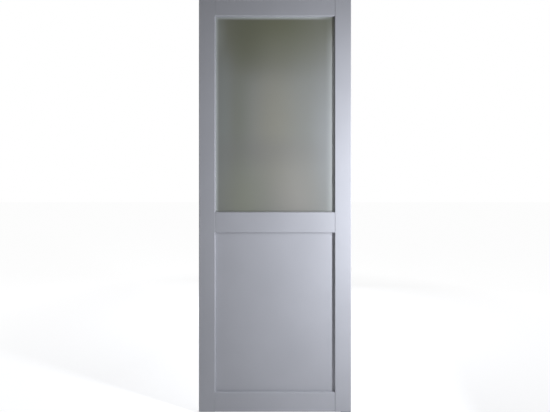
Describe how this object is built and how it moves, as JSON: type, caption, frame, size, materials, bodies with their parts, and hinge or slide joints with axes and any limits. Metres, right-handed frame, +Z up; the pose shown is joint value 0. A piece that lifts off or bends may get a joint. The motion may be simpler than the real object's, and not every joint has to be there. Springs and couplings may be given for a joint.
{
  "type": "glazed sliding door",
  "caption": "Top-hung sliding door leaf with a frosted pane over a flat recessed panel, painted frame, head track, trolleys and floor guide.",
  "frame": {"origin": "top face of the head track, above the middle of the closed leaf", "axes": "+X along the track, the way the leaf opens; +Y from the leaf's front face to its back face; +Z up"},
  "size_m": [1.45, 0.04, 2.09],
  "materials": {
    "painted_frame": "satin light grey lacquer on timber",
    "painted_panel": "satin light grey lacquer on board",
    "satin_glass": "etched satin, grey tint",
    "glazing_seal": "matt black",
    "channel_plastic": "extruded, grey",
    "guide_plastic": "moulded, dark grey",
    "wheel_plastic": "moulded, off-white",
    "track_aluminium": "satin anodised",
    "gear_steel": "bright zinc plated",
    "buffer_rubber": "matt black"
  },
  "bodies": {
    "fixed_gear": {"head_track": "track_aluminium", "left_track_stop": "gear_steel", "right_track_stop": "gear_steel", "left_stop_buffer": "buffer_rubber", "right_stop_buffer": "buffer_rubber", "floor_guide": "guide_plastic"},
    "door_leaf": {"left_stile": "painted_frame", "right_stile": "painted_frame", "top_rail": "painted_frame", "middle_rail": "painted_frame", "bottom_rail": "painted_frame", "lower_panel": "painted_panel", "glass_pane": "satin_glass", "front_glazing_seal": "glazing_seal", "back_glazing_seal": "glazing_seal", "glass_setting_blocks": "glazing_seal", "glazing_bead_top": "painted_frame", "glazing_bead_right": "painted_frame", "glazing_bead_bottom": "painted_frame", "glazing_bead_left": "painted_frame", "guide_channel": "channel_plastic", "trolley_wheels": "wheel_plastic", "trolley_axles": "gear_steel", "left_hanger_plate": "gear_steel", "left_hanger_bolt": "gear_steel", "left_lock_nut": "gear_steel", "left_trolley_frame": "gear_steel", "right_hanger_plate": "gear_steel", "right_hanger_bolt": "gear_steel", "right_lock_nut": "gear_steel", "right_trolley_frame": "gear_steel"}
  },
  "joints": [
    {"name": "leaf_slide", "type": "slide", "parent": "fixed_gear", "child": "door_leaf", "axis": [1, 0, 0], "range_m": [0, 0.7]}
  ]
}
